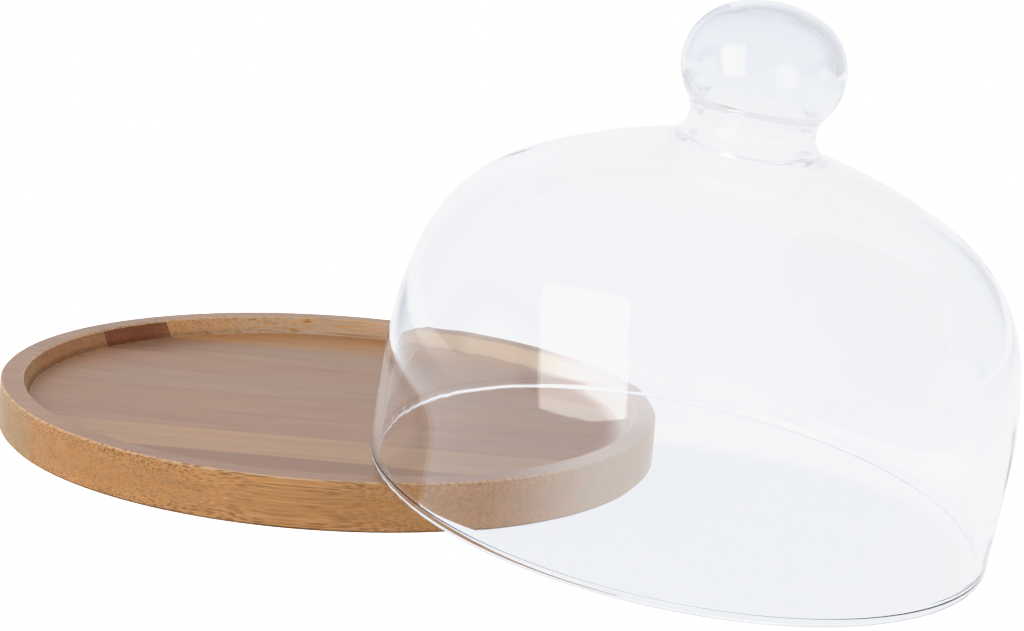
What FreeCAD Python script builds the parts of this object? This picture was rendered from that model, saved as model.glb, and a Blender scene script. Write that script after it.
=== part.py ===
"""Glass bell jar dome with its turned bamboo tray.

The dome is one piece of clear blown glass: a straight wall, a shoulder, a crown, a waisted neck and a
hollow knob. The tray is a round board turned from a block of glued bamboo strips, two plies high, with
a shallow recess that the dome's rim fits into.

Frame: +Z up, origin at the centre of the tray's underside, on the table. The dome stands beside the
tray as it does when it has just been taken off: its rim rests on the table on the far side and leans on
the tray's outer edge on the near side.
"""

import FreeCAD, Part
import math
import os

import Sketcher
from FreeCAD import Placement, Rotation, Vector

UP = Vector(0, 0, 1)
CENTRE = Vector(0, 0, 0)

# Driving dimensions in millimetres and degrees, each with the alias that the model calls it by.
SIZES = {
    # the tray, a disc turned from an 18 mm board
    "tray_radius": 127.0,
    "tray_height": 18.0,
    "lip_width": 8.5,            # flat top of the tray's rim
    "recess_depth": 7.2,
    "recess_draft": 2.0,         # how far the recess wall leans in on its way down
    "recess_foot_radius": 1.2,   # small cove where the recess wall meets the floor
    "lip_ease": 0.6,             # both edges of the lip are eased by this much
    "foot_bevel": 1.0,
    # the bamboo strips that the board is glued from
    "strip_width": 27.4,
    "seam_offset": 2.8,          # from the tray's centre to the nearest seam
    "lower_ply": 9.0,
    "grain_angle": -5.6,         # of the grain from +X, seen from above
    # the dome's outside, from the rim up: a straight wall and a chain of tangent arcs
    "rim_radius": 110.0,
    "wall_height": 35.0,
    "wall_arc": 148.0,
    "wall_turn": 15.0,
    "shoulder_arc": 57.0,
    "shoulder_turn": 48.0,
    "crown_arc": 205.0,
    "crown_turn": 14.0,
    "neck_arc": 9.0,
    "neck_turn": 114.5,
    "knob_arc": 21.0,
    "knob_turn": 104.5,
    # the dome's inside
    "glass_wall": 3.2,
    "rim_bead": 1.75,            # radius of the melted rim, a little thicker than the wall
    "knob_wall": 2.4,
    "bore_radius": 17.0,         # the passage from the dome up into the hollow knob
    "bore_arc": 7.0,             # where the inside of the crown turns up into the passage
    "bore_lip": 2.0,
    "hollow_floor": 141.3,       # height of the knob hollow's floor at its outer edge
    "hollow_floor_tilt": 23.0,
    "hollow_corner": 4.0,
    # how the dome stands beside the tray
    "lean_angle": 6.01,
    "lean_azimuth": -37.1,       # from +X, the way the dome lies from the tray
    "rest_gap": 0.05,            # air left between the glass and the tray's edge
}

document = FreeCAD.newDocument("BellJarDome")
sheet = document.addObject("Spreadsheet::Sheet", "Sizes")
for row, (alias, value) in enumerate(SIZES.items(), start=1):
    sheet.set(f"A{row}", alias)
    sheet.set(f"B{row}", str(value))
    sheet.setAlias(f"B{row}", alias)
document.recompute()


def size(alias):
    """A driving dimension as it stands in the sheet."""
    return float(sheet.get(alias))


def xz_sketch(body, name):
    """A sketch on the body's own XZ plane, where sketch X is the radius and sketch Y is the height."""
    plane = next(f for f in body.Origin.OriginFeatures if f.Role == "XZ_Plane")
    sketch = body.newObject("Sketcher::SketchObject", name)
    sketch.AttachmentSupport = [(plane, "")]
    sketch.MapMode = "FlatFace"
    return sketch


def constrain(sketch, kind, *where):
    """Add one constraint and return its number."""
    return sketch.addConstraint(Sketcher.Constraint(kind, *where))


def bind(sketch, name, expression, kind, *where):
    """Add a dimension that follows the sheet."""
    number = constrain(sketch, kind, *where)
    sketch.renameConstraint(number, name)
    sketch.setExpression(f"Constraints.{name}", expression)


# ---------------------------------------------------------------------------------------------------
# The tray, turned as one disc and then divided into its strips
# ---------------------------------------------------------------------------------------------------


def circular_edges(shape, radius, height):
    """Names of the full-circle edges of this radius at this height."""
    found = []
    for number, edge in enumerate(shape.Edges, start=1):
        curve = edge.Curve
        if not isinstance(curve, Part.Circle):
            continue
        if math.isclose(curve.Radius, radius, abs_tol=1e-4) and math.isclose(
            curve.Center.z, height, abs_tol=1e-4
        ):
            found.append(f"Edge{number}")
    return found


def dress_edges(body, base, kind, name, radius, height, property_name, alias):
    """Round or bevel the circular edge at a radius and height."""
    feature = body.newObject(f"PartDesign::{kind}", name)
    feature.Base = (base, circular_edges(base.Shape, radius, height))
    feature.setExpression(property_name, f"Sizes.{alias}")
    document.recompute()
    return feature


def turned_tray():
    """The whole tray as it comes off the lathe: a disc with a recess turned into its top."""
    body = document.addObject("PartDesign::Body", "TurnedTray")
    sketch = xz_sketch(body, "TraySection")
    outer, top = size("tray_radius"), size("tray_height")
    lip = outer - size("lip_width")
    foot = lip - size("recess_draft")
    floor = top - size("recess_depth")
    corners = [(0, 0), (outer, 0), (outer, top), (lip, top), (foot, floor), (0, floor)]
    for start, end in zip(corners, corners[1:] + corners[:1]):
        sketch.addGeometry(Part.LineSegment(Vector(*start, 0), Vector(*end, 0)))
    sides = len(corners)
    for side in range(sides):
        constrain(sketch, "Coincident", side, 2, (side + 1) % sides, 1)
    base_line, outside, lip_top, _, floor_line, axis_line = range(sides)
    constrain(sketch, "Coincident", base_line, 1, -1, 1)
    for level in (base_line, lip_top, floor_line):
        constrain(sketch, "Horizontal", level)
    for upright in (outside, axis_line):
        constrain(sketch, "Vertical", upright)
    bind(sketch, "radius", "Sizes.tray_radius", "DistanceX", base_line, 1, base_line, 2, outer)
    bind(sketch, "height", "Sizes.tray_height", "DistanceY", outside, 1, outside, 2, top)
    bind(sketch, "lip", "Sizes.lip_width", "DistanceX", lip_top, 2, lip_top, 1, outer - lip)
    bind(
        sketch, "floor", "Sizes.tray_height - Sizes.recess_depth",
        "DistanceY", base_line, 1, floor_line, 2, floor,
    )
    bind(
        sketch, "foot", "Sizes.tray_radius - Sizes.lip_width - Sizes.recess_draft",
        "DistanceX", floor_line, 2, floor_line, 1, foot,
    )
    turned = body.newObject("PartDesign::Revolution", "Turned")
    turned.Profile = sketch
    turned.ReferenceAxis = (sketch, ["V_Axis"])
    turned.Angle = 360
    document.recompute()
    cove = dress_edges(
        body, turned, "Fillet", "RecessCove", foot, floor, "Radius", "recess_foot_radius"
    )
    outer_lip = dress_edges(body, cove, "Chamfer", "OuterLip", outer, top, "Size", "lip_ease")
    inner_lip = dress_edges(body, outer_lip, "Chamfer", "InnerLip", lip, top, "Size", "lip_ease")
    bevel = dress_edges(body, inner_lip, "Chamfer", "FootBevel", outer, 0, "Size", "foot_bevel")
    body.Tip = bevel
    return body


def batten_numbers():
    """The battens that the tray needs across the grain; number 0 begins at the seam offset."""
    radius, width = size("tray_radius"), size("strip_width")
    first = size("seam_offset")
    lowest = math.floor((-radius - first) / width)
    highest = math.floor((radius - first) / width)
    return range(lowest, highest + 1)


def strip(tray, label, number, ply_base, ply_height):
    """One bamboo strip: what the lathe left of a straight batten along the grain."""
    batten = document.addObject("Part::Box", f"Batten_{label}")
    batten.setExpression("Length", "2 * Sizes.tray_radius")
    batten.setExpression("Width", "Sizes.strip_width")
    batten.setExpression("Height", ply_height)
    batten.setExpression("Placement.Base.x", "-Sizes.tray_radius")
    batten.setExpression("Placement.Base.y", f"Sizes.seam_offset + {number} * Sizes.strip_width")
    batten.setExpression("Placement.Base.z", ply_base)
    piece = document.addObject("Part::Common", label)
    piece.Base = tray
    piece.Tool = batten
    piece.Label = label
    piece.Placement = Placement(CENTRE, Rotation(UP, size("grain_angle")))
    piece.setExpression("Placement.Rotation.Angle", "Sizes.grain_angle")
    return piece


def strips():
    """Every strip of the lower and the upper ply, numbered from the front of the tray to the back."""
    tray = turned_tray()
    plies = {
        "lower_strip": ("0", "Sizes.lower_ply"),
        "upper_strip": ("Sizes.lower_ply", "Sizes.tray_height - Sizes.lower_ply"),
    }
    pieces = []
    for ply, (ply_base, ply_height) in plies.items():
        for count, number in enumerate(batten_numbers(), start=1):
            pieces.append(strip(tray, f"{ply}_{count:02d}", number, ply_base, ply_height))
    return pieces


# ---------------------------------------------------------------------------------------------------
# The glass dome
# ---------------------------------------------------------------------------------------------------


class Walk:
    """Draws a chain of tangent lines and arcs in a sketch, walking up from the rim.

    The heading is the angle between the way ahead and straight up, in degrees, positive towards the
    axis. A positive turn bends towards the axis and a negative turn bends away from it.
    """

    def __init__(self, sketch, radius, height):
        self.sketch = sketch
        self.radius = radius
        self.height = height
        self.heading = 0.0
        self.previous = None

    def join(self, number, start, end):
        """Make the new piece leave the previous one tangentially."""
        if self.previous is not None:
            constrain(self.sketch, "Tangent", self.previous[0], self.previous[1], number, start)
        self.previous = (number, end)
        return number

    def line(self, length):
        """Go straight on."""
        heading = math.radians(self.heading)
        start = Vector(self.radius, self.height, 0)
        self.radius -= length * math.sin(heading)
        self.height += length * math.cos(heading)
        number = self.sketch.addGeometry(
            Part.LineSegment(start, Vector(self.radius, self.height, 0))
        )
        return self.join(number, 1, 2)

    def arc(self, arc_radius, turn):
        """Go round an arc."""
        bend = math.copysign(arc_radius, turn)
        before = math.radians(self.heading)
        after = math.radians(self.heading + turn)
        centre = Vector(
            self.radius - bend * math.cos(before), self.height - bend * math.sin(before), 0
        )
        self.radius = centre.x + bend * math.cos(after)
        self.height = centre.y + bend * math.sin(after)
        self.heading += turn
        circle = Part.Circle(centre, Vector(0, 0, 1), arc_radius)
        if turn > 0:
            number = self.sketch.addGeometry(Part.ArcOfCircle(circle, before, after))
            return self.join(number, 1, 2)
        number = self.sketch.addGeometry(
            Part.ArcOfCircle(circle, after + math.pi, before + math.pi)
        )
        return self.join(number, 2, 1)


def bind_arc(sketch, name, number, radius_alias, turn_alias):
    """Give an arc the radius and the turn that the sheet holds."""
    bind(sketch, f"{name}_radius", f"Sizes.{radius_alias}", "Radius", number, size(radius_alias))
    bind(
        sketch, f"{name}_turn", f"Sizes.{turn_alias}",
        "Angle", number, math.radians(size(turn_alias)),
    )


def bead_height():
    """Height at which the rim's bead meets the inside of the wall."""
    bead = size("rim_bead")
    return bead + math.sqrt(bead**2 - (size("glass_wall") - bead) ** 2)


def draw_outside(sketch):
    """The outside of the glass from the rim to the top of the knob; returns its pieces by name."""
    walk = Walk(sketch, size("rim_radius"), size("rim_bead"))
    pieces = {"wall_line": walk.line(size("wall_height") - size("rim_bead"))}
    for name, direction in (("wall", 1), ("shoulder", 1), ("crown", 1), ("neck", -1), ("knob", 1)):
        pieces[name] = walk.arc(size(f"{name}_arc"), direction * size(f"{name}_turn"))
    top_radius = walk.radius / math.cos(math.radians(walk.heading))
    pieces["knob_top"] = walk.arc(top_radius, 90 - walk.heading)
    pieces["top"] = walk.height
    pieces["top_radius"] = top_radius
    return pieces


def draw_inside(sketch, knob_centre, top_radius):
    """The inside of the glass from the rim to the roof of the hollow knob; returns its pieces."""
    wall, knob_wall = size("glass_wall"), size("knob_wall")
    bore, bore_arc, bore_lip = size("bore_radius"), size("bore_arc"), size("bore_lip")
    walk = Walk(sketch, size("rim_radius") - wall, bead_height())
    pieces = {"wall_line": walk.line(size("wall_height") - bead_height())}
    for name in ("wall", "shoulder"):
        pieces[name] = walk.arc(size(f"{name}_arc") - wall, size(f"{name}_turn"))
    # the crown's inside runs on until the arc that turns up into the passage can leave it
    crown_arc = size("crown_arc") - wall
    crown_centre = walk.radius - crown_arc * math.cos(math.radians(walk.heading))
    leave = math.degrees(math.acos((bore + bore_arc - crown_centre) / (crown_arc + bore_arc)))
    pieces["crown"] = walk.arc(crown_arc, leave - walk.heading)
    pieces["bore_arc"] = walk.arc(bore_arc, -walk.heading)
    # the knob's hollow: its lower corner sits on the arc of its side, at the stated floor height
    side_arc = size("knob_arc") - knob_wall
    corner = size("hollow_corner")
    tilt = 90 - size("hollow_floor_tilt")
    drop = knob_centre.y - corner * math.sin(math.radians(tilt)) - size("hollow_floor")
    side_start = math.degrees(math.asin(drop / (side_arc - corner)))
    corner_end = (
        knob_centre.x
        + (side_arc - corner) * math.cos(math.radians(side_start))
        + corner * math.cos(math.radians(tilt))
    )
    floor_start = bore + bore_lip * (1 - math.cos(math.radians(tilt)))
    floor_length = (corner_end - floor_start) / math.sin(math.radians(tilt))
    floor_rise = floor_length * math.cos(math.radians(tilt))
    lip_rise = bore_lip * math.sin(math.radians(tilt))
    pieces["bore"] = walk.line(size("hollow_floor") - floor_rise - lip_rise - walk.height)
    pieces["bore_lip"] = walk.arc(bore_lip, -tilt)
    pieces["floor"] = walk.line(floor_length)
    pieces["hollow_corner"] = walk.arc(corner, tilt - side_start)
    pieces["knob"] = walk.arc(side_arc, side_start + knob_turned())
    pieces["knob_top"] = walk.arc(top_radius - knob_wall, 90 - walk.heading)
    pieces["top"] = walk.height
    return pieces


def knob_turned():
    """The heading at which the knob's side hands over to its top, from the vertical."""
    rise = size("wall_turn") + size("shoulder_turn") + size("crown_turn")
    return rise - size("neck_turn") + size("knob_turn")


def arc_centre(sketch, number):
    return sketch.Geometry[number].Center


def glass_section(body):
    """The closed half section of the glass."""
    sketch = xz_sketch(body, "GlassSection")
    outside = draw_outside(sketch)
    inside = draw_inside(sketch, arc_centre(sketch, outside["knob"]), outside["top_radius"])
    roof = sketch.addGeometry(
        Part.LineSegment(Vector(0, outside["top"], 0), Vector(0, inside["top"], 0))
    )
    bead = size("rim_bead")
    bead_circle = Part.Circle(Vector(size("rim_radius") - bead, bead, 0), Vector(0, 0, 1), bead)
    bead_start = math.acos((bead - size("glass_wall")) / bead)
    rim = sketch.addGeometry(Part.ArcOfCircle(bead_circle, bead_start, 2 * math.pi))
    close_section(sketch, outside, inside, roof, rim)
    size_outside(sketch, outside)
    size_inside(sketch, inside, roof)
    return sketch


def close_section(sketch, outside, inside, roof, rim):
    """Join the outside to the inside along the axis and round the rim, and centre matching arcs.

    The rim's bead runs smoothly into the outside and meets the inside in a shallow crease.
    """
    centre, start, end, vertical_axis = 3, 1, 2, -2
    constrain(sketch, "Tangent", outside["wall_line"], start, rim, end)
    constrain(sketch, "Coincident", inside["wall_line"], start, rim, start)
    constrain(sketch, "Coincident", outside["knob_top"], end, roof, start)
    constrain(sketch, "Coincident", inside["knob_top"], end, roof, end)
    constrain(sketch, "PointOnObject", roof, start, vertical_axis)
    constrain(sketch, "PointOnObject", roof, end, vertical_axis)
    constrain(sketch, "PointOnObject", outside["knob_top"], centre, vertical_axis)
    for name in ("wall", "shoulder", "crown", "knob", "knob_top"):
        constrain(sketch, "Coincident", inside[name], centre, outside[name], centre)
    for upright in (outside["wall_line"], inside["wall_line"], inside["bore"]):
        constrain(sketch, "Vertical", upright)
    bead = size("rim_bead")
    bind(sketch, "bead_radius", "Sizes.rim_bead", "Radius", rim, bead)
    bind(sketch, "bead_level", "Sizes.rim_bead", "DistanceY", -1, 1, rim, centre, bead)


def size_outside(sketch, outside):
    """Bind the outside to the sheet."""
    wall_line = outside["wall_line"]
    bind(
        sketch, "rim_radius", "Sizes.rim_radius",
        "DistanceX", -1, 1, wall_line, 1, size("rim_radius"),
    )
    bind(
        sketch, "wall_height", "Sizes.wall_height",
        "DistanceY", -1, 1, wall_line, 2, size("wall_height"),
    )
    for name in ("wall", "shoulder", "crown", "neck", "knob"):
        bind_arc(sketch, name, outside[name], f"{name}_arc", f"{name}_turn")


def size_inside(sketch, inside, roof):
    """Bind the inside to the sheet."""
    bind(
        sketch, "inner_radius", "Sizes.rim_radius - Sizes.glass_wall",
        "DistanceX", -1, 1, inside["wall_line"], 1, size("rim_radius") - size("glass_wall"),
    )
    bind(sketch, "roof", "Sizes.knob_wall", "DistanceY", roof, 2, roof, 1, size("knob_wall"))
    bind(
        sketch, "bore", "Sizes.bore_radius",
        "DistanceX", -1, 1, inside["bore"], 1, size("bore_radius"),
    )
    for name in ("bore_arc", "bore_lip", "hollow_corner"):
        bind(sketch, f"{name}_radius", f"Sizes.{name}", "Radius", inside[name], size(name))
    bind(
        sketch, "floor_height", "Sizes.hollow_floor",
        "DistanceY", -1, 1, inside["floor"], 2, size("hollow_floor"),
    )
    bind(
        sketch, "floor_tilt", "Sizes.hollow_floor_tilt",
        "Angle", inside["floor"], math.radians(size("hollow_floor_tilt")),
    )


def rim_clearance(distance):
    """Air between the rim's round edge and the tray's eased lip, with the dome this far away.

    The rim is a bead whose centre line is a circle. The circle leans with the dome and its lowest
    point is one bead radius above the table. The eased lip is a ring sloping at 45 degrees.
    """
    bead = size("rim_bead")
    ring = size("rim_radius") - bead
    ease = size("lip_ease")
    lean = math.radians(size("lean_angle"))
    steps = 720
    closest = math.inf
    for step in range(steps):
        angle = 2 * math.pi * step / steps
        along = distance + ring * math.cos(angle) * math.cos(lean)
        across = ring * math.sin(angle)
        height = bead + ring * math.sin(lean) * (1 - math.cos(angle))
        outward = math.hypot(along, across) - (size("tray_radius") - ease)
        above = height - size("tray_height")
        nearest = min(max((outward - above) / 2, 0), ease)
        closest = min(closest, math.hypot(outward - nearest, above + nearest))
    return closest - bead


def settled_distance():
    """How far the middle of the rim is from the tray's centre when the rim leans on the tray."""
    near, far = size("rim_radius"), size("rim_radius") + size("tray_radius")
    while far - near > 1e-4:
        middle = (near + far) / 2
        if rim_clearance(middle) > size("rest_gap"):
            far = middle
        else:
            near = middle
    return far


def leaning_placement():
    """Stand the dome on the table with its rim leaning on the tray."""
    azimuth = math.radians(size("lean_azimuth"))
    lean = math.radians(size("lean_angle"))
    away = Vector(math.cos(azimuth), math.sin(azimuth), 0)
    axis = away * math.sin(lean) + UP * math.cos(lean)
    bead = size("rim_bead")
    ring_height = bead + (size("rim_radius") - bead) * math.sin(lean)
    ring_centre = away * settled_distance() + UP * ring_height
    return Placement(ring_centre - axis * bead, Rotation(UP, axis))


def glass_dome():
    """The dome, neck and knob, blown in one piece."""
    body = document.addObject("PartDesign::Body", "glass_dome")
    sketch = glass_section(body)
    blown = body.newObject("PartDesign::Revolution", "Blown")
    blown.Profile = sketch
    blown.ReferenceAxis = (sketch, ["V_Axis"])
    blown.Angle = 360
    document.recompute()
    body.Placement = leaning_placement()
    return body


# ---------------------------------------------------------------------------------------------------
# Build, check and write
# ---------------------------------------------------------------------------------------------------

pieces = strips() + [glass_dome()]
document.recompute()

for item in document.Objects:
    if "Invalid" in item.State or "Error" in item.State:
        raise RuntimeError(f"{item.Label} did not build: {item.State}")

os.makedirs("parts", exist_ok=True)
for piece in pieces:
    shape = piece.Shape
    if shape.isNull() or not shape.isValid() or not shape.Solids:
        raise RuntimeError(f"{piece.Label} has no valid solid")
    shape.exportStep(f"parts/{piece.Label}.step")
    print(f"{piece.Label}: {shape.Volume / 1000:.1f} cm3")
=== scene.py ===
"""Looks of the bell jar dome: clear blown glass leaning on a round tray of laminated bamboo."""

import math
import re
from types import SimpleNamespace

import bpy
import numpy as np
from mathutils import Matrix, Vector


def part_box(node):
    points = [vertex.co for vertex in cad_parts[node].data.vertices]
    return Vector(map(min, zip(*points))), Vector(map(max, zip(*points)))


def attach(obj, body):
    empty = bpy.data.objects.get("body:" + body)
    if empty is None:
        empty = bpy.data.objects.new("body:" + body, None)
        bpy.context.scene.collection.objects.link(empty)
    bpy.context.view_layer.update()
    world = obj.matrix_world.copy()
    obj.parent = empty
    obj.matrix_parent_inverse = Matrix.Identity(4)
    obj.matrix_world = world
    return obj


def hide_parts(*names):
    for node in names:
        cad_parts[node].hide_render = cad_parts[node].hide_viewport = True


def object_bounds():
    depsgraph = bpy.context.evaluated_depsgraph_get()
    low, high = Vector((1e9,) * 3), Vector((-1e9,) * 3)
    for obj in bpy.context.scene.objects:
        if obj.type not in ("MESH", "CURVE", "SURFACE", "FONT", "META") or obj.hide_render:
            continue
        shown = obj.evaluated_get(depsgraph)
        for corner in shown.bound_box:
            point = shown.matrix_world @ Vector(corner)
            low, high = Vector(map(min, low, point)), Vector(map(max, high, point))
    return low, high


MM = 0.001
WHITE = (1.0, 1.0, 1.0, 1.0)

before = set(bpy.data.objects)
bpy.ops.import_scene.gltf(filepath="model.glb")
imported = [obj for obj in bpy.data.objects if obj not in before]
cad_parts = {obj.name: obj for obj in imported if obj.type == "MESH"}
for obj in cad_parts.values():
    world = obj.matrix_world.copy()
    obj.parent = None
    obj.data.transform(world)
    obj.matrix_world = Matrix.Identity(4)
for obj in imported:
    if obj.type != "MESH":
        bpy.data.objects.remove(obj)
cad_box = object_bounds()


# ---------------------------------------------------------------- node recipes
class Recipe:
    """A material or world under construction, with short ways to add its nodes."""

    def __init__(self, owner):
        owner.use_nodes = True
        self.owner = owner
        self.tree = owner.node_tree
        self.tree.nodes.clear()

    def add(self, kind, *values, named=None, **settings):
        """Adds one node. Values and named inputs are plain values or sockets to link."""
        node = self.tree.nodes.new(kind)
        for setting, value in settings.items():
            setattr(node, setting, value)
        inputs = dict(enumerate(values))
        inputs.update(named or {})
        for key, value in inputs.items():
            if isinstance(value, bpy.types.NodeSocket):
                self.tree.links.new(value, node.inputs[key])
            elif value is not None:
                node.inputs[key].default_value = value
        return node

    def math(self, operation, *values):
        return self.add("ShaderNodeMath", *values, operation=operation).outputs[0]

    def product(self, *values):
        """All the values multiplied together."""
        result = values[0]
        for value in values[1:]:
            result = self.math("MULTIPLY", result, value)
        return result

    def line(self, value, slope, start):
        """value times slope, plus start."""
        return self.math("MULTIPLY_ADD", value, slope, start)

    def rest(self, share):
        """What a share leaves of 1."""
        return self.math("SUBTRACT", 1.0, share)

    def between(self, value, low, high):
        """0 below low, 1 above high, and a smooth step from one to the other."""
        return self.add(
            "ShaderNodeMapRange", value, low, high, 0.0, 1.0, interpolation_type="SMOOTHSTEP"
        ).outputs[0]

    def more_than(self, value, count):
        """1 where a whole number is more than count, otherwise 0."""
        return self.between(value, count + 0.2, count + 0.8)

    def blend(self, share, first, second, mode="MIX"):
        """Mixes two colours; share is how much of the second one shows."""
        node = self.add("ShaderNodeMix", data_type="RGBA", blend_type=mode, clamp_factor=True)
        for key, value in ((0, share), (6, first), (7, second)):
            if isinstance(value, bpy.types.NodeSocket):
                self.tree.links.new(value, node.inputs[key])
            else:
                node.inputs[key].default_value = value
        return node.outputs[2]

    def pick(self, share, first, second):
        """Mixes two numbers; share is how much of the second one counts."""
        return self.add("ShaderNodeMix", share, None, first, second, data_type="FLOAT").outputs[0]

    def stretched(self, vector, lengths, offset=(0.0, 0.0, 0.0)):
        """The position measured in units of the given lengths."""
        scale = tuple(1.0 / length for length in lengths)
        return self.add("ShaderNodeMapping", vector, offset, (0.0, 0.0, 0.0), scale).outputs[0]

    def noise(self, vector, detail=2.0, roughness=0.5):
        """Smooth random clouds, 0 to 1."""
        named = {"Scale": 1.0, "Detail": detail, "Roughness": roughness}
        return self.add("ShaderNodeTexNoise", vector, named=named).outputs[0]

    def mix_shaders(self, share, first, second):
        return self.add("ShaderNodeMixShader", share, first.outputs[0], second.outputs[0])

    def finish(self, surface):
        """Makes this shader the one that shows."""
        is_world = isinstance(self.owner, bpy.types.World)
        self.add("ShaderNodeOutputWorld" if is_world else "ShaderNodeOutputMaterial", surface.outputs[0])


def linear(red, green, blue):
    """A colour given in everyday 0 to 255 steps, as Blender's linear values."""
    steps = [value / 255 for value in (red, green, blue)]
    return tuple(s / 12.92 if s <= 0.04045 else ((s + 0.055) / 1.055) ** 2.4 for s in steps) + (1.0,)


# ---------------------------------------------------------------- bamboo
# Lengths are in millimetres. X runs along the fibres, which lie a little askew to the tray's X axis.
GRAIN_TURN = math.radians(5.6)
PLY_GLUE_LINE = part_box("lower_strip_05")[1].z / MM
TRAY_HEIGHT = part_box("upper_strip_05")[1].z / MM
RECESS_RADIUS = 117.0
RECESS_FLOOR = TRAY_HEIGHT - 7.2
BUNDLE_PITCH = 0.72
BUNDLE_LENGTH = 900.0
BUNDLE_RADIUS = 0.26
CROWDED_GROWTH = 0.12
BUMP_HEIGHT = 0.08

# zones in which something fades in, from where it starts to where it is full
RIM_ZONE = (RECESS_RADIUS, RECESS_RADIUS + 1.5)
TOP_EDGE_ZONE = (TRAY_HEIGHT - 1.5, TRAY_HEIGHT - 0.8)
ABOVE_FOOT_ZONE = (RECESS_FLOOR + 1.4, RECESS_FLOOR + 2.7)
UPPER_CROWDED_ZONE = (PLY_GLUE_LINE + 2.0, TRAY_HEIGHT - 0.5)
LOWER_OPEN_ZONE = (0.5, PLY_GLUE_LINE - 2.0)
DOME_SIDE_ZONE = (0.0, 60.0)
DARK_STRIP_FADES = (-88.0, -45.0)
# where the farthest strips' pale streaks and painted light start, and where the painted light makes all of
# their wall pale
PALE_STREAKS_START = (-95.0, -35.0)
LIT_WALL_ZONE = (-10.0, 25.0)
# where a painted glow veils the wood near the dome, standing in for light reflected in the glass: its
# reach, its extent along and across, and how much shows in front and more behind
VEIL_REACH = (106.0, 118.0)
VEIL_ALONG = (60.0, 108.0)
VEIL_ACROSS = (-40.0, 20.0)
VEIL_IN_FRONT = 0.36
VEIL_MORE_BEHIND = 0.25

# the same for a normal's share of up, and for its share along the fibres
FLAT_FACE = (0.78, 0.96)
ROUNDED_FACE = (0.3, 0.6)
LEANING_FACE = (0.08, 0.4)
END_FACE = (0.2, 0.5)

# the same for the values of the clouds and cells
BUNDLE_EDGE = (-0.16, 0.1)
PITH_EDGE = (0.42, 0.62)
WARM_PARTS = (0.35, 0.7)
SMUDGED_PARTS = (0.52, 0.72)
GLINTING_PARTS = (0.6, 0.68)
PALE_PARTS = (0.3, 0.6)

# sizes of the clouds that vary the wood: along the fibres, across them, and up
WANDER = (55.0, 16.0, 9.0)
BROAD = (120.0, 7.0, 5.0)
STREAKS = (70.0, 1.6, 1.6)
FINE = (30.0, 0.45, 0.45)
WARMTH = (60.0, 5.0, 3.5)
SMUDGES = (34.0, 6.0, 6.0)
GLINTS = (48.0, 0.5, 0.4)
PALE_STREAKS = (50.0, 1.4, 1.0)

# how much each of them changes the wood
DRIFT = 5.0
RISE_WITH_DRIFT = 0.35
WARMTH_SHARE = 0.6
SMUDGE_SHARE = 0.55
PALE_SHARE = 0.85
RIM_SHARE = 0.8
BROAD_CONTRAST = 0.36
STREAK_CONTRAST = 0.3
FINE_CONTRAST = 0.16
PITH_GAIN = 0.14
GLINT_GAIN = 0.3
# painted shade in the cove at the foot of the recess wall
FOOT_SHADE = -0.4
CROWDED_GAIN = 0.1
BUNDLE_RANDOMNESS = 0.6
BUNDLE_RELIEF = -0.5
FINE_RELIEF = 0.6
FOOT_ROUGHNESS = 0.5
VARNISH_INDEX = 1.5

# the same as (change, start): what the share or cloud at hand adds, and the value without it
BUNDLES_ON_FLAT = (-0.42, 0.5)
BUNDLES_CROWDED = (0.7, 0.3)
BUNDLES_ON_DOME_SIDE = (-0.6, 1.0)
# share of the painted highlight on the top edge, less on the fibre bundles
EDGE_HIGHLIGHT_BETWEEN_BUNDLES = (-0.6, 0.75)
BUMP_ON_FLAT = (0.4, 0.1)
BUMP_ON_DOME_SIDE = (-0.8, 1.0)
ROUGHNESS_OF_STREAKS = (0.16, 0.3)
SHINE_ON_CUT = (-0.28, 0.5)

RIM_TONE = linear(178, 137, 112)
# colour of the painted highlight along the top edge
EDGE_HIGHLIGHT_TONE = linear(226, 186, 146)
# colour of the pale streaks, also used as painted light on the far wall towards the dome
PALE_AND_LIT_TONE = linear(212, 187, 160)
# colour of a painted glow that stands in for light reflected in the glass over the wood
PAINTED_GLOW_TONE = (0.96, 0.955, 0.95, 1.0)
WARM_TINT = (1.0, 0.93, 0.8, 1.0)
SMUDGE_TINT = (0.86, 0.82, 0.92, 1.0)
CUT_FIBRE = {
    "golden": linear(208, 155, 100),
    "front": linear(186, 136, 88),
    "tan": linear(176, 138, 94),
    "dark": linear(140, 82, 48),
    "brown": linear(178, 126, 84),
}
LONG_GRAIN = {
    "golden": linear(188, 136, 88),
    "tan": linear(190, 148, 112),
    "grey_tan": linear(174, 135, 108),
    "mauve": linear(176, 132, 106),
    "dark": linear(154, 114, 90),
    "brown": linear(162, 118, 92),
}
# strip number: (tone across the fibres, tone along them)
TONES = {
    1: ("front", "mauve"),
    2: ("front", "brown"),
    3: ("tan", "tan"),
    4: ("tan", "mauve"),
    5: ("tan", "mauve"),
    6: ("brown", "grey_tan"),
    7: ("brown", "mauve"),
    8: ("dark", "dark"),
    9: ("golden", "golden"),
    10: ("golden", "golden"),
}
FADING_STRIP = 8
FIRST_PALE_STRIP = 8


def fibre_space(r, seed):
    """Places in millimetres along the fibres: straight, and wandering as the fibres grew."""
    place = r.add("ShaderNodeTexCoord").outputs["Object"]
    turn, scale = (0.0, 0.0, GRAIN_TURN), (1 / MM, 1 / MM, 1 / MM)
    straight = r.add("ShaderNodeMapping", place, (0.0, 0.0, 0.0), turn, scale).outputs[0]
    drift = r.line(r.noise(r.stretched(straight, WANDER, (seed, 0.0, 0.0)), detail=1.0), DRIFT, -DRIFT / 2)
    rise = r.product(drift, RISE_WITH_DRIFT)
    shift = r.add("ShaderNodeCombineXYZ", 0.0, drift, rise).outputs[0]
    grown = r.add("ShaderNodeVectorMath", straight, shift, operation="ADD").outputs[0]
    return straight, grown


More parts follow.
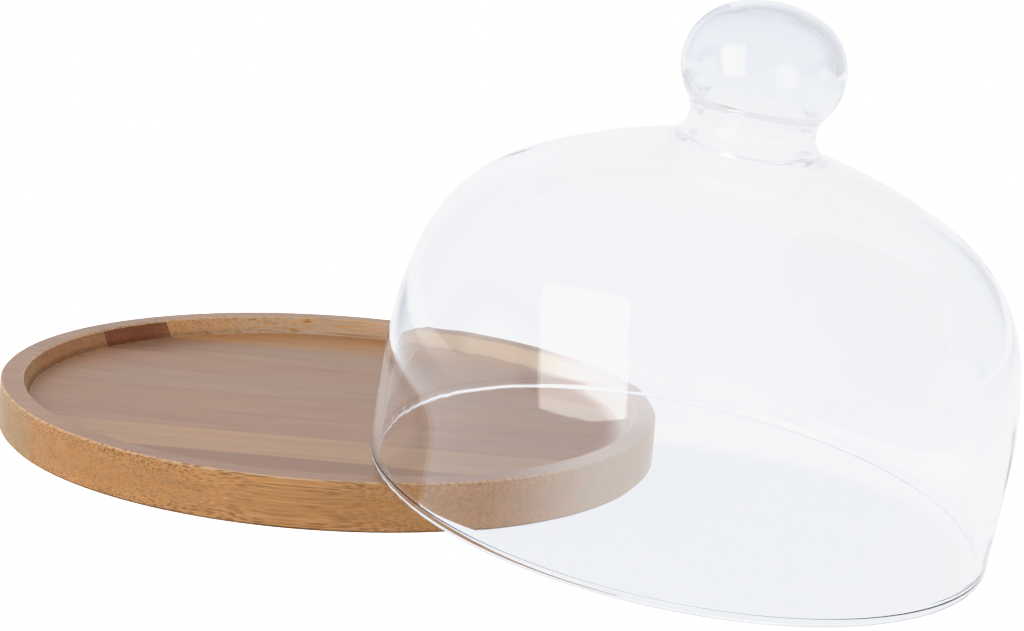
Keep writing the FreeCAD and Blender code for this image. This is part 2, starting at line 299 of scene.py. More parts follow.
def read_face(r, straight, is_upper):
    """Where a point of a strip lies and what kind of face it is on, the kinds as shares of 1."""
    normal = r.add("ShaderNodeNewGeometry").outputs["Normal"]
    turned_normal = r.add(
        "ShaderNodeMapping", normal, (0.0, 0.0, 0.0), (0.0, 0.0, GRAIN_TURN), vector_type="NORMAL"
    ).outputs[0]
    slant = r.add("ShaderNodeSeparateXYZ", turned_normal).outputs
    tilt = r.math("ABSOLUTE", slant["Z"])
    spot = r.add("ShaderNodeSeparateXYZ", straight).outputs
    face = SimpleNamespace(along=spot["X"], across=spot["Y"], height=spot["Z"])
    squares = r.math("MULTIPLY_ADD", face.along, face.along, r.product(face.across, face.across))
    face.reach = r.math("SQRT", squares)
    face.flat = r.between(tilt, *FLAT_FACE)
    face.cut = r.rest(face.flat)
    face.on_rim = r.between(face.reach, *RIM_ZONE)
    face.faces_across = r.rest(r.between(r.math("ABSOLUTE", slant["X"]), *END_FACE))
    near_top = r.between(face.height, *TOP_EDGE_ZONE)
    # the rounded top edge, where a highlight is painted
    face.eased_edge = r.product(r.between(tilt, *ROUNDED_FACE), face.cut, near_top)
    above_foot = r.between(face.height, *ABOVE_FOOT_ZONE)
    # the cove at the foot of the recess wall, where shade is painted and the varnish is rougher
    face.foot = r.product(r.between(tilt, *LEANING_FACE), face.cut, r.rest(above_foot))
    face.dome_side = r.between(face.along, *DOME_SIDE_ZONE)
    # the outer culm side of each ply, where the bundles crowd together
    if is_upper:
        face.crowded = r.between(face.height, *UPPER_CROWDED_ZONE)
    else:
        face.crowded = r.rest(r.between(face.height, *LOWER_OPEN_ZONE))
    return face


def fibre_bundles(r, grown, face, seed):
    """The fibre bundles, dots on a cut end and streaks along a face, and the pale pith between them."""
    section = r.stretched(grown, (BUNDLE_LENGTH, BUNDLE_PITCH, BUNDLE_PITCH), (seed, seed, seed))
    layout = {"Scale": 1.0, "Randomness": BUNDLE_RANDOMNESS}
    cells = r.add("ShaderNodeTexVoronoi", section, named=layout, feature="F1").outputs["Distance"]
    radius = r.line(face.crowded, CROWDED_GROWTH, BUNDLE_RADIUS)
    bundle = r.between(r.math("SUBTRACT", radius, cells), *BUNDLE_EDGE)
    pith = r.between(cells, *PITH_EDGE)
    return bundle, pith


def wood_tone(r, grown, face, strip, seed):
    """The strip's own colour across and along the fibres, with warm parts and smudges."""
    cut_tone, long_tone = TONES[strip]
    cut_colour = CUT_FIBRE[cut_tone]
    long_colour = r.blend(r.product(face.on_rim, RIM_SHARE), LONG_GRAIN[long_tone], RIM_TONE)
    if strip == FADING_STRIP:
        # the dark strip turns pale towards the dome
        fade = r.between(face.along, *DARK_STRIP_FADES)
        cut_colour = r.blend(fade, cut_colour, CUT_FIBRE["golden"])
        long_colour = r.blend(fade, long_colour, LONG_GRAIN["grey_tan"])
    tone = r.blend(face.flat, cut_colour, long_colour)
    warmth = r.between(r.noise(r.stretched(grown, WARMTH, (seed, 0.0, 21.0))), *WARM_PARTS)
    tone = r.blend(r.product(warmth, WARMTH_SHARE), tone, WARM_TINT, mode="MULTIPLY")
    smudge = r.noise(r.stretched(grown, SMUDGES, (seed, 8.0, 0.0)), detail=1.5)
    smudge = r.product(r.between(smudge, *SMUDGED_PARTS), face.flat, SMUDGE_SHARE)
    return r.blend(smudge, tone, SMUDGE_TINT, mode="MULTIPLY")


def wood_value(r, grown, face, bundle, pith, streaks, fine, seed):
    """How much lighter or darker than its tone the wood is here."""
    broad = r.noise(r.stretched(grown, BROAD, (seed, 3.0, 0.0)))
    value = r.line(r.math("SUBTRACT", broad, 0.5), BROAD_CONTRAST, 1.0)
    value = r.line(r.math("SUBTRACT", streaks, 0.5), STREAK_CONTRAST, value)
    value = r.line(r.math("SUBTRACT", fine, 0.5), FINE_CONTRAST, value)
    # bundles show most on cut faces, where they crowd, and away from the dome
    depth = r.product(r.line(face.flat, *BUNDLES_ON_FLAT), r.line(face.crowded, *BUNDLES_CROWDED))
    depth = r.product(depth, r.line(face.dome_side, *BUNDLES_ON_DOME_SIDE))
    value = r.math("SUBTRACT", value, r.product(bundle, depth))
    value = r.line(r.product(pith, face.cut), PITH_GAIN, value)
    glints = r.noise(r.stretched(grown, GLINTS, (seed, 0.0, 9.0)), detail=1.0)
    glints = r.product(r.between(glints, *GLINTING_PARTS), face.cut, face.faces_across)
    value = r.line(glints, GLINT_GAIN, value)
    # painted shade: the cove at the foot of the recess wall is painted darker
    value = r.line(face.foot, FOOT_SHADE, value)
    return r.line(r.product(face.crowded, face.cut), CROWDED_GAIN, value)


def wood_colour(r, grown, face, bundle, tone, value, strip, seed):
    """The tone at its value, with a painted highlight on the top edge, and on the farthest strips pale
    streaks and a painted pale wash of light towards the dome.
    """
    colour = r.add("ShaderNodeVectorMath", tone, value, operation="MULTIPLY").outputs[0]
    # painted highlight: the top edge's chamfer is painted lighter, broken by the darker fibre bundles
    edge_highlight = r.product(face.eased_edge, r.line(bundle, *EDGE_HIGHLIGHT_BETWEEN_BUNDLES))
    colour = r.blend(edge_highlight, colour, EDGE_HIGHLIGHT_TONE)
    # pale streaks along the grain, and towards the dome a painted pale wash: painted light standing in for
    # the far wall lit by the window as it shows through the glass
    if strip >= FIRST_PALE_STRIP:
        streak = r.noise(r.stretched(grown, PALE_STREAKS, (seed, 4.0, 2.0)))
        streak = r.between(streak, *PALE_PARTS)
        pale = r.math("MAXIMUM", streak, r.between(face.along, *LIT_WALL_ZONE))
        pale = r.product(pale, r.between(face.along, *PALE_STREAKS_START), face.cut, PALE_SHARE)
        colour = r.blend(pale, colour, PALE_AND_LIT_TONE)
    return colour


def wood_seen(r, face, skin):
    """The wood as the glass shows it, with painted light: close behind the glass wall a painted glow veils
    it, standing in for light reflected in the glass, and after more than four crossings, as in a second
    reflection, it shows only as that pale painted glow.
    """
    crossings = r.add("ShaderNodeLightPath").outputs["Ray Depth"]
    near_dome = r.product(r.between(face.reach, *VEIL_REACH), r.between(face.along, *VEIL_ALONG))
    thickness = r.line(r.between(face.across, *VEIL_ACROSS), VEIL_MORE_BEHIND, VEIL_IN_FRONT)
    # painted reflection: a glow veils the wood near the dome when seen through the glass, and covers it
    # wholly after more than four crossings
    painted_veil = r.product(near_dome, thickness, r.more_than(crossings, 1))
    painted_glow_share = r.math("MAXIMUM", r.more_than(crossings, 4), painted_veil)
    painted_glow = r.add("ShaderNodeEmission", PAINTED_GLOW_TONE, 1.0)
    return r.mix_shaders(painted_glow_share, skin, painted_glow)


def bamboo(strip, is_upper):
    """Satin varnished bamboo of one strip, with its fibres running along the strip."""
    seed = 37.0 * strip + (11.0 if is_upper else 0.0)
    material = bpy.data.materials.new(f"bamboo_{'upper' if is_upper else 'lower'}_{strip:02d}")
    r = Recipe(material)
    straight, grown = fibre_space(r, seed)
    face = read_face(r, straight, is_upper)
    bundle, pith = fibre_bundles(r, grown, face, seed)
    streaks = r.noise(r.stretched(grown, STREAKS, (0.0, seed, 0.0)), detail=3.0, roughness=0.6)
    fine = r.noise(r.stretched(grown, FINE, (0.0, seed, 5.0)), roughness=0.6)
    tone = wood_tone(r, grown, face, strip, seed)
    value = wood_value(r, grown, face, bundle, pith, streaks, fine, seed)
    strength = r.line(face.flat, *BUMP_ON_FLAT)
    strength = r.product(strength, r.line(face.dome_side, *BUMP_ON_DOME_SIDE))
    height = r.line(bundle, BUNDLE_RELIEF, r.product(fine, FINE_RELIEF))
    relief = {"Strength": strength, "Distance": BUMP_HEIGHT * MM, "Height": height}
    bump = r.add("ShaderNodeBump", named=relief).outputs[0]
    skin = r.add(
        "ShaderNodeBsdfPrincipled",
        named={
            "Base Color": wood_colour(r, grown, face, bundle, tone, value, strip, seed),
            "Roughness": r.line(face.foot, FOOT_ROUGHNESS, r.line(streaks, *ROUGHNESS_OF_STREAKS)),
            "IOR": VARNISH_INDEX,
            "Specular IOR Level": r.line(face.cut, *SHINE_ON_CUT),
            "Normal": bump,
        },
    )
    r.finish(wood_seen(r, face, skin))
    return material


def finish_tray():
    """Gives every strip of the tray its own bamboo."""
    for name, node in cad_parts.items():
        strip = re.fullmatch(r"(upper|lower)_strip_(\d+)", name)
        if not strip:
            continue
        node.data.materials.clear()
        node.data.materials.append(bamboo(int(strip[2]), strip[1] == "upper"))


# ---------------------------------------------------------------- glass dome
# Lengths are in millimetres, heights from the plane that the rim lies in.
RIM_RADIUS = 110.0
GLASS_WALL = 3.2
KNOB_WALL = 2.4
RIM_BEAD = 1.75
WALL_HEIGHT = 35.0
# outside arcs from the wall up: radius and turn in degrees, hollow ones negative
ARCS = {
    "wall": (148, 15),
    "shoulder": (57, 48),
    "crown": (205, 14),
    "neck": (9, -114.5),
    "knob": (21, 104.5),
}
BORE_RADIUS = 17.0
BORE_ARC = 7.0
BORE_LIP = 2.0
HOLLOW_FLOOR = 141.3
HOLLOW_FLOOR_TILT = 23.0
HOLLOW_CORNER = 4.0
# how far hand blowing left the knob's hollow off centre
HOLLOW_SHIFT = Vector((-0.8, 0.0, -0.5))
HOLLOW_SHIFT_RISE = 8.0
# how far the melted rim's inner side waves inwards, in quick waves and in slow ones
QUICK_WAVE = 0.42
SLOW_WAVE = 0.10
WAVE_HEIGHT = 6.0
QUICK_WAVES = 83
SLOW_WAVES = 29
WAVES_WANDER = (7, 1.3)
WAVES_SWELL = (5, 0.35)
SEGMENTS = 432
STEP = 2.4
STEP_TURN = 5.0
ON_AXIS = 1e-6

# heights over which the milky layer in the neck, a painted glow, starts and ends, and where the knob's
# thicker glass starts
FILM_STARTS = (106.0, 120.0)
FILM_ENDS = (138.0, 148.0)
KNOB_STARTS = (132.0, 142.0)
FILM_IN_NECK = 0.15
FILM_IN_KNOB = 0.05
RIPPLE_SIZE = (30.0, 30.0, 45.0)
RIPPLE_HEIGHT = 0.4
RIPPLE_STRENGTH = 0.25
# a ray this far on its way through the glass isn't tinted any more
TINT_ENDS = (4.5, 5.5)
GLASS_INDEX = 1.5
WALL_TINT = (0.991, 0.993, 0.997, 1.0)
KNOB_TINT = (0.960, 0.963, 0.972, 1.0)
# colour of the painted glow of the milky layer in the neck and knob
FILM_GLOW_WHITE = (0.955, 0.96, 0.97, 1.0)
SHADE_TINT = (0.95, 0.955, 0.96, 1.0)


class Walk:
    """A path in the plane of the axis, radius and height, that turns only where it is told to."""

    def __init__(self, radius, height, heading=0.0):
        self.points = [(radius, height)]
        self.heading = heading

    def line(self, length):
        """Goes straight on."""
        radius, height = self.points[-1]
        along = (-math.sin(math.radians(self.heading)), math.cos(math.radians(self.heading)))
        count = max(1, round(length / STEP))
        for i in range(1, count + 1):
            gone = length * i / count
            self.points.append((radius + along[0] * gone, height + along[1] * gone))

    def arc(self, arc_radius, turn):
        """Goes round an arc, to the left where turn is positive, and returns the arc's centre."""
        radius, height = self.points[-1]
        bend = math.copysign(arc_radius, turn)
        start = math.radians(self.heading)
        centre = (radius - bend * math.cos(start), height - bend * math.sin(start))
        by_length = round(arc_radius * math.radians(abs(turn)) / STEP)
        count = max(2, math.ceil(abs(turn) / STEP_TURN), by_length)
        for i in range(1, count + 1):
            angle = math.radians(self.heading + turn * i / count)
            self.points.append((centre[0] + bend * math.cos(angle), centre[1] + bend * math.sin(angle)))
        self.heading += turn
        return centre


def outside_profile():
    """The outside from the rim's edge to the top, with the centre of the knob's side arc."""
    walk = Walk(RIM_RADIUS, RIM_BEAD)
    walk.line(WALL_HEIGHT - RIM_BEAD)
    for name in ARCS:
        centre = walk.arc(*ARCS[name])
    top_radius = walk.points[-1][0] / math.cos(math.radians(walk.heading))
    walk.arc(top_radius, 90 - walk.heading)
    return walk.points, centre, top_radius


def inside_profile(knob_centre, top_radius):
    """The inside from the rim's edge, through the passage in the neck, to the roof of the hollow knob."""
    crease = RIM_BEAD + math.sqrt(RIM_BEAD**2 - (GLASS_WALL - RIM_BEAD) ** 2)
    walk = Walk(RIM_RADIUS - GLASS_WALL, crease)
    walk.line(WALL_HEIGHT - crease)
    for name in ("wall", "shoulder"):
        radius, turn = ARCS[name]
        walk.arc(radius - GLASS_WALL, turn)
    crown_arc = ARCS["crown"][0] - GLASS_WALL
    crown_centre = walk.points[-1][0] - crown_arc * math.cos(math.radians(walk.heading))
    leave = math.degrees(math.acos((BORE_RADIUS + BORE_ARC - crown_centre) / (crown_arc + BORE_ARC)))
    walk.arc(crown_arc, leave - walk.heading)
    walk.arc(BORE_ARC, -walk.heading)
    side_arc = ARCS["knob"][0] - KNOB_WALL
    tilt = math.radians(90 - HOLLOW_FLOOR_TILT)
    drop = knob_centre[1] - HOLLOW_CORNER * math.sin(tilt) - HOLLOW_FLOOR
    side_start = math.asin(drop / (side_arc - HOLLOW_CORNER))
    corner_end = knob_centre[0] + (side_arc - HOLLOW_CORNER) * math.cos(side_start)
    corner_end += HOLLOW_CORNER * math.cos(tilt)
    floor_start = BORE_RADIUS + BORE_LIP * (1 - math.cos(tilt))
    floor_length = (corner_end - floor_start) / math.sin(tilt)
    rise = floor_length * math.cos(tilt) + BORE_LIP * math.sin(tilt)
    walk.line(HOLLOW_FLOOR - rise - walk.points[-1][1])
    walk.arc(BORE_LIP, -math.degrees(tilt))
    walk.line(floor_length)
    walk.arc(HOLLOW_CORNER, math.degrees(tilt - side_start))
    turned = sum(turn for _, turn in ARCS.values())
    walk.arc(side_arc, math.degrees(side_start) + turned)
    walk.arc(top_radius - KNOB_WALL, 90 - walk.heading)
    return walk.points


def rim_profile():
    """The melted lower edge, a bead that starts in a crease inside and runs smoothly into the outside."""
    turn = 180 - math.degrees(math.acos((GLASS_WALL - RIM_BEAD) / RIM_BEAD))
    start = math.radians(turn)
    bead_centre = (RIM_RADIUS - RIM_BEAD, RIM_BEAD)
    crease = (bead_centre[0] + RIM_BEAD * math.cos(start), bead_centre[1] + RIM_BEAD * math.sin(start))
    walk = Walk(*crease, turn)
    walk.arc(RIM_BEAD, 360 - turn)
    return walk.points


def melt_ripple(radius, height, angle):
    """How far the melting of the rim left its inner side waving inwards here, most of all behind."""
    inside = min(max(RIM_RADIUS - RIM_BEAD - radius, 0.0), 1.0)
    low = min(max((WAVE_HEIGHT - height) / (WAVE_HEIGHT / 2), 0.0), 1.0)
    wander = WAVES_WANDER[1] * math.sin(WAVES_WANDER[0] * angle)
    quick = 0.5 + 0.5 * math.sin(QUICK_WAVES * angle + wander)
    swell = 1 - WAVES_SWELL[1] + WAVES_SWELL[1] * math.sin(WAVES_SWELL[0] * angle + 1.0)
    slow = math.sin(SLOW_WAVES * angle) ** 2
    behind = (0.5 + 0.5 * math.sin(angle)) ** 1.5
    return inside * low * behind * (QUICK_WAVE * quick * swell + SLOW_WAVE * slow)


def revolve(name, profile):
    """Mesh of a closed profile turned round the local Z axis; its ends lie on the axis."""
    angles = [2 * math.pi * i / SEGMENTS for i in range(SEGMENTS)]
    vertices, rings = [], []
    for radius, height in profile:
        if radius < ON_AXIS:
            rings.append([len(vertices)] * SEGMENTS)
            vertices.append((0.0, 0.0, height))
            continue
        rings.append(list(range(len(vertices), len(vertices) + SEGMENTS)))
        for angle in angles:
            reach = radius - melt_ripple(radius, height, angle)
            vertices.append((reach * math.cos(angle), reach * math.sin(angle), height))
    faces = []
    for lower, upper in zip(rings, rings[1:]):
        for i in range(SEGMENTS):
            j = (i + 1) % SEGMENTS
            corners = [lower[i], lower[j], upper[j], upper[i]]
            faces.append(list(dict.fromkeys(corners)))
    mesh = bpy.data.meshes.new(name)
    mesh.from_pydata([Vector(v) * MM for v in vertices], [], faces)
    mesh.validate()
    mesh.polygons.foreach_set("use_smooth", [True] * len(mesh.polygons))
    mesh.update()
    return mesh


def symmetry_axis(node):
    """A point on the axis of a turned body, level with its rim, and the axis's direction."""
    mesh = node.data
    places = np.array([v.co for v in mesh.vertices])
    mesh.calc_loop_triangles()
    corners = places[np.array([t.vertices for t in mesh.loop_triangles])]
    sides = (corners[:, 1] - corners[:, 0], corners[:, 2] - corners[:, 0])
    areas = np.linalg.norm(np.cross(*sides), axis=1) / 2
    centres = corners.mean(axis=1)
    middle = (areas[:, None] * centres).sum(0) / areas.sum()
    # second moments of the surface: of a triangle's corners, and of its centre for the rest
    offsets, spread = corners - middle, centres - middle
    moments = np.einsum("t,tki,tkj->ij", areas, offsets, offsets) / 12
    moments += 9 * np.einsum("t,ti,tj->ij", areas, spread, spread) / 12
    values, vectors = np.linalg.eigh(moments)
    odd_one = 0 if values[1] - values[0] > values[2] - values[1] else 2
    axis = vectors[:, odd_one] * math.copysign(1.0, vectors[2, odd_one])
    rim_level = ((places - middle) @ axis).min()
    return Vector(middle + rim_level * axis), Vector(axis)


def clear_glass(rim_centre, axis):
    """Colourless glass that lets lamp light through to the tray, with a faint milky layer higher up whose
    light is painted: it glows with its own white.
    """
    material = bpy.data.materials.new("clear_blown_glass")
    r = Recipe(material)
    place = r.add("ShaderNodeTexCoord").outputs["Object"]
    from_rim = r.add("ShaderNodeVectorMath", place, tuple(rim_centre), operation="SUBTRACT").outputs[0]
    along_axis = r.add("ShaderNodeVectorMath", from_rim, tuple(axis), operation="DOT_PRODUCT")
    climb = r.product(along_axis.outputs["Value"], 1 / MM)
    in_knob = r.between(climb, *KNOB_STARTS)
    in_neck = r.math("SUBTRACT", r.between(climb, *FILM_STARTS), r.between(climb, *FILM_ENDS))
    ripple = r.noise(r.stretched(place, [size * MM for size in RIPPLE_SIZE]))
    relief = {"Strength": RIPPLE_STRENGTH, "Distance": RIPPLE_HEIGHT * MM, "Height": ripple}
    bump = r.add("ShaderNodeBump", named=relief).outputs[0]
    path = r.add("ShaderNodeLightPath").outputs
    tint = r.blend(in_knob, WALL_TINT, KNOB_TINT)
    tint = r.blend(r.between(path["Ray Depth"], *TINT_ENDS), tint, WHITE)
    clear = {"Color": tint, "Roughness": 0.0, "IOR": GLASS_INDEX, "Normal": bump}
    glass = r.add("ShaderNodeBsdfGlass", named=clear)
    # painted light: the milky layer glows with its own near-white light, standing in for the light it
    # would scatter
    film_glow = r.add("ShaderNodeEmission", FILM_GLOW_WHITE, 1.0)
    film_glow_share = r.line(in_neck, FILM_IN_NECK, r.product(in_knob, FILM_IN_KNOB))
    coated = r.mix_shaders(film_glow_share, glass, film_glow)
    through = r.add("ShaderNodeBsdfTransparent", SHADE_TINT)
    straight = r.math("MAXIMUM", path["Is Shadow Ray"], path["Is Diffuse Ray"])
    r.finish(r.mix_shaders(straight, coated, through))
    return material


def shift_hollow(mesh, count, rim_centre, axis):
    """Sets the knob's hollow, among the mesh's first vertices, a little off centre."""
    for vertex in mesh.vertices[:count]:
        climb = (vertex.co - rim_centre).dot(axis) / MM
        share = min(max((climb - HOLLOW_FLOOR) / HOLLOW_SHIFT_RISE, 0.0), 1.0)
        vertex.co += share * HOLLOW_SHIFT * MM


def make_dome():
    """The dome with its hollow knob, blown in one."""
    outside, knob_centre, top_radius = outside_profile()
    inside = inside_profile(knob_centre, top_radius)
    outside[-1] = (0.0, outside[-1][1])
    inside[-1] = (0.0, inside[-1][1])
    profile = inside[::-1] + rim_profile()[1:-1] + outside
    mesh = revolve("blown_glass_dome", profile)
    rim_centre, axis = symmetry_axis(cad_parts["glass_dome"])
    lean = Vector((0.0, 0.0, 1.0)).rotation_difference(axis).to_matrix().to_4x4()
    mesh.transform(Matrix.Translation(rim_centre) @ lean)
    shift_hollow(mesh, SEGMENTS * (len(inside) - 1) + 1, rim_centre, axis)
    mesh.materials.append(clear_glass(rim_centre, axis))
    dome = bpy.data.objects.new("blown_glass_dome", mesh)
    bpy.context.scene.collection.objects.link(dome)
    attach(dome, "dome")
    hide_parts("glass_dome")


# ---------------------------------------------------------------- studio
# Lengths are in metres.
FLOOR_SIZE = 30.0
FLOOR_DROP = 0.0002
CAMERA_WHITE = 1.8
COOL_WHITE = (1.0, 1.02, 1.1, 1.0)
PAPER = (0.9, 0.9, 0.9, 1.0)
GLOW_SHARE = 0.88
# how bright the table glows: for the camera, for light it throws up, through glass and in glass
TABLE_TO_CAMERA = 2.0
TABLE_BOUNCED = 0.58
TABLE_OTHERWISE = 1.08
TABLE_THROUGH_GLASS = 1.045
TABLE_IN_GLASS = 1.12
# round areas of the table: centre, and the radii where they start and finish fading out
UNDER_DOME = ((0.124, -0.094, 0.0), 0.098, 0.114)
BRIGHT_PATCH = ((0.130, -0.020, 0.0), 0.030, 0.075)
DIM_CORNER = ((-0.45, 0.40, 0.0), 0.20, 0.45)
DIM_FLANK = ((1.5, 0.3, 0.0), 0.6, 1.1)
DOME_SHADE = -0.145
CORNER_SHADE_THROUGH = -0.3
PATCH_IN_GLASS = 1.3
CORNER_SHADE_IN_GLASS = -0.75
FLANK_SHADE_IN_GLASS = -0.6

# the room: greys, and the parts of a direction over which one changes into the next
FRONT_BLURRED = (0.5, 0.505, 0.52, 1.0)
CEILING_BLURRED = (0.4, 0.4, 0.41, 1.0)
CEILING_OVER_WOOD = (0.62, 0.62, 0.63, 1.0)
FRONT_SHARP = (0.64, 0.64, 0.65, 1.0)
SIDES_SHARP = (0.74, 0.745, 0.76, 1.0)
FLANK_SHARP = (0.30, 0.31, 0.34, 1.0)
CEILING_SHARP = (0.58, 0.58, 0.59, 1.0)
FRONT_TO_BACK = (-0.45, 0.5)
FRONT_TO_SIDES = (-0.5, -0.2)
WALL_TO_CEILING = (0.42, 0.66)
WALL_TO_CEILING_SHARP = (0.5, 0.75)
RIGHT_FLANK = (0.88, 0.99)
LEFT_FLANK = (-0.82, -0.94)
STRAIGHT_ON = (0.955, 0.985)
STRAIGHT_BEHIND = (0.84, 0.95)
# a ray this far on its way through the glass sees white all round
WHITE_AFTER = (4.5, 6.5)

WINDOW_CENTRE = Vector((-0.597, -0.629, 0.386))
WINDOW_ACROSS = Vector((0.40, -0.357, 0.122))
WINDOW_UP = Vector((0.088, 0.39, 0.80))
WINDOW_RADIANCE = 2.2
GLARE_RADIANCE = 1.2
GLARE_STEP = 0.01

CAMERA_PLACE = Vector((0.0, -0.79909, 0.22461))
CAMERA_YAW = math.radians(4.853)
CAMERA_PITCH = math.radians(12.219)
CAMERA_ROLL = math.radians(4.964)
SENSOR_WIDTH = 36.0
LENS = 73.61

# bright glass keeps its drawing below the white of the backdrop: (radiance, what is shown)
WHITE_LEVEL = 1.6
SHOULDER = ((0.88, 0.88), (1.05, 0.93), (1.30, 0.95), (1.50, 1.0))
COMBINED_CURVE = 3

MOST_BOUNCES = 40
MOST_CROSSINGS = 36
MOST_REFLECTIONS = 12


def table_strength(r, place, path, sharp):
    """How bright the table glows for each kind of ray that meets it."""

    def within(centre, inner, outer):
        away = r.add("ShaderNodeVectorMath", place, centre, operation="DISTANCE").outputs["Value"]
        return r.rest(r.between(away, inner, outer))

    dim_corner = within(*DIM_CORNER)
    seen_through = r.line(within(*UNDER_DOME), DOME_SHADE, TABLE_THROUGH_GLASS)
    seen_through = r.line(dim_corner, CORNER_SHADE_THROUGH, seen_through)
    seen_mirrored = r.line(within(*BRIGHT_PATCH), PATCH_IN_GLASS, TABLE_IN_GLASS)
    seen_mirrored = r.line(dim_corner, CORNER_SHADE_IN_GLASS, seen_mirrored)
    seen_mirrored = r.line(within(*DIM_FLANK), FLANK_SHADE_IN_GLASS, seen_mirrored)
    mirrored = r.product(path["Is Singular Ray"], path["Is Reflection Ray"])
    strength = r.pick(path["Is Diffuse Ray"], TABLE_OTHERWISE, TABLE_BOUNCED)
    strength = r.pick(sharp, strength, seen_through)
    strength = r.pick(mirrored, strength, seen_mirrored)
    return r.pick(path["Is Camera Ray"], strength, TABLE_TO_CAMERA)


def lay_floor():
    """A plain white table top that runs on to the horizon, a shade deeper under the dome."""
    half = FLOOR_SIZE / 2
    corners = [(-half, -half, 0), (half, -half, 0), (half, half, 0), (-half, half, 0)]
    mesh = bpy.data.meshes.new("floor")
    mesh.from_pydata(corners, [], [(0, 1, 2, 3)])
    material = bpy.data.materials.new("white_floor")
    r = Recipe(material)
    paper = r.add("ShaderNodeBsdfDiffuse", PAPER)
    path = r.add("ShaderNodeLightPath").outputs
    place = r.add("ShaderNodeTexCoord").outputs["Object"]
    sharp = r.product(path["Is Singular Ray"], path["Is Transmission Ray"])
    colour = r.blend(sharp, WHITE, COOL_WHITE)
    glow = r.add("ShaderNodeEmission", colour, table_strength(r, place, path, sharp))
    r.finish(r.mix_shaders(GLOW_SHARE, paper, glow))
    mesh.materials.append(material)
    floor = bpy.data.objects.new("floor", mesh)
    floor.location.z = cad_box[0].z - FLOOR_DROP
    bpy.context.scene.collection.objects.link(floor)


def blurred_room(r, split, path):
    """The room as satin surfaces and the table see it: white behind, dimmer in front and above."""
    room = r.blend(r.between(split["Y"], *FRONT_TO_BACK), FRONT_BLURRED, WHITE)
    ceiling = r.blend(path["Is Diffuse Ray"], CEILING_BLURRED, CEILING_OVER_WOOD)
    return r.blend(r.between(split["Z"], *WALL_TO_CEILING), room, ceiling)


def sharp_room(r, split, path):
    """The room as clear glass shows it, with grey flanks that draw the glass's outline."""
    room = r.blend(r.between(split["Y"], *FRONT_TO_SIDES), FRONT_SHARP, SIDES_SHARP)
    right, left = r.between(split["X"], *RIGHT_FLANK), r.between(split["X"], *LEFT_FLANK)
    room = r.blend(r.math("MAXIMUM", right, left), room, FLANK_SHARP)
    room = r.blend(r.between(split["Z"], *WALL_TO_CEILING_SHARP), room, CEILING_SHARP)
    level = r.math("MAXIMUM", r.math("ABSOLUTE", split["X"]), r.math("ABSOLUTE", split["Y"]))
    behind = r.between(split["Y"], *STRAIGHT_BEHIND)
    straight_on = r.math("MAXIMUM", r.between(level, *STRAIGHT_ON), behind)
    room = r.blend(straight_on, room, COOL_WHITE)
    return r.blend(r.between(path["Ray Depth"], *WHITE_AFTER), room, COOL_WHITE)


def light_room():
    """White walls all round, which each kind of ray sees at its own brightness."""
    world = bpy.data.worlds.new("studio")
    bpy.context.scene.world = world
    r = Recipe(world)
    direction = r.add("ShaderNodeTexCoord").outputs["Generated"]
    split = r.add("ShaderNodeSeparateXYZ", direction).outputs
    path = r.add("ShaderNodeLightPath").outputs
    room = r.blend(path["Is Singular Ray"], blurred_room(r, split, path), sharp_room(r, split, path))
    backdrop = (CAMERA_WHITE, CAMERA_WHITE, CAMERA_WHITE, 1.0)
    colour = r.blend(path["Is Camera Ray"], room, backdrop)
    r.finish(r.add("ShaderNodeBackground", colour, 1.0))


def hang_softbox(name, centre, across, up, radiance, only_mirrored=False):
    """A rectangular soft light; across and up are its edges, and it shines away from across x up."""
    light = bpy.data.lights.new(name, "AREA")
    light.shape = "RECTANGLE"
    light.size, light.size_y = across.length, up.length
    light.energy = radiance * across.length * up.length * math.pi
    lamp = bpy.data.objects.new(name, light)
    x = across.normalized()
    z = x.cross(up).normalized()
    turn = Matrix((x, z.cross(x), z)).transposed().to_4x4()
    lamp.matrix_world = Matrix.Translation(centre) @ turn
    lamp.visible_camera = False
    lamp.visible_diffuse = not only_mirrored
    bpy.context.scene.collection.objects.link(lamp)


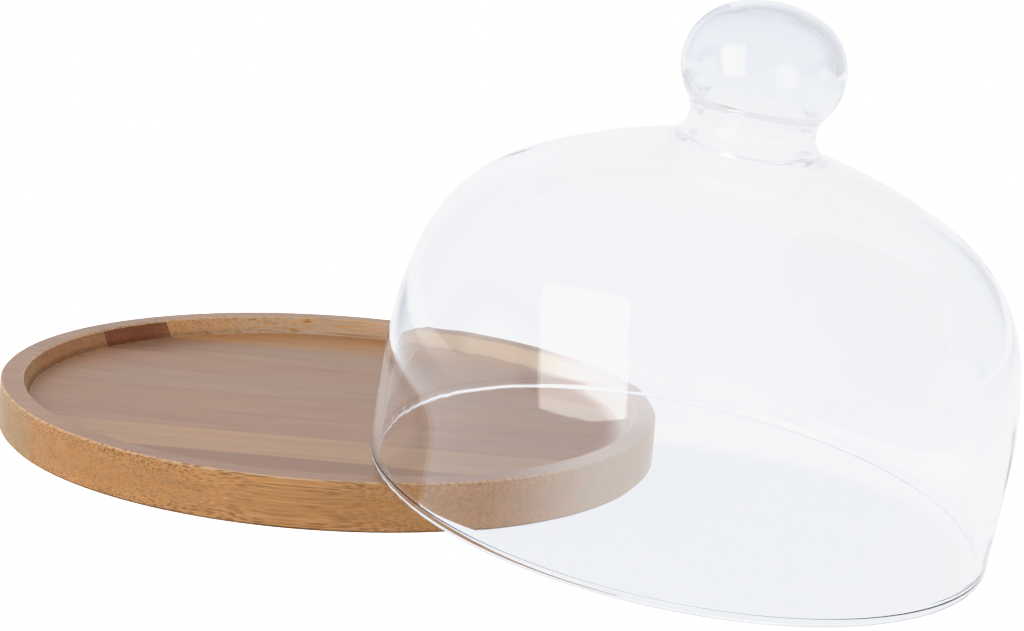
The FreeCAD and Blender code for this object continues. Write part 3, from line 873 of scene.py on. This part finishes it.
def hang_window():
    """One window to the left of the camera, with a second lamp before it that only the glass mirrors."""
    hang_softbox("window_box", WINDOW_CENTRE, WINDOW_ACROSS, WINDOW_UP, WINDOW_RADIANCE)
    before = WINDOW_CENTRE - GLARE_STEP * WINDOW_ACROSS.cross(WINDOW_UP).normalized()
    hang_softbox("window_glare", before, WINDOW_ACROSS, WINDOW_UP, GLARE_RADIANCE, only_mirrored=True)


def place_camera():
    """The photograph's point of view."""
    yaw, pitch, roll = CAMERA_YAW, CAMERA_PITCH, CAMERA_ROLL
    forward = Vector(
        (math.sin(yaw) * math.cos(pitch), math.cos(yaw) * math.cos(pitch), -math.sin(pitch))
    )
    right = Vector((math.cos(yaw), -math.sin(yaw), 0.0))
    up = right.cross(forward)
    image_right = math.cos(roll) * right + math.sin(roll) * up
    image_up = math.cos(roll) * up - math.sin(roll) * right
    data = bpy.data.cameras.new("camera")
    data.sensor_width = SENSOR_WIDTH
    data.lens = LENS
    camera = bpy.data.objects.new("camera", data)
    turn = Matrix((image_right, image_up, -forward)).transposed().to_4x4()
    camera.matrix_world = Matrix.Translation(CAMERA_PLACE) @ turn
    bpy.context.scene.collection.objects.link(camera)
    bpy.context.scene.camera = camera


def soften_whites():
    """Shows white a little above paper white, with a gentle shoulder up to it."""
    view = bpy.context.scene.view_settings
    view.view_transform = "Standard"
    view.use_curve_mapping = True
    mapping = view.curve_mapping
    mapping.white_level = (WHITE_LEVEL, WHITE_LEVEL, WHITE_LEVEL)
    curve = mapping.curves[COMBINED_CURVE]
    for radiance, shown in SHOULDER:
        curve.points.new(radiance / WHITE_LEVEL, shown)
    for point in curve.points:
        point.handle_type = "VECTOR"
    mapping.update()


def follow_rays_through_glass():
    """Lets a ray pass the many walls of dome and knob before it is given up."""
    paths = bpy.context.scene.cycles
    paths.max_bounces = MOST_BOUNCES
    paths.transmission_bounces = MOST_CROSSINGS
    paths.glossy_bounces = MOST_REFLECTIONS


finish_tray()
make_dome()
lay_floor()
light_room()
hang_window()
place_camera()
soften_whites()
follow_rays_through_glass()
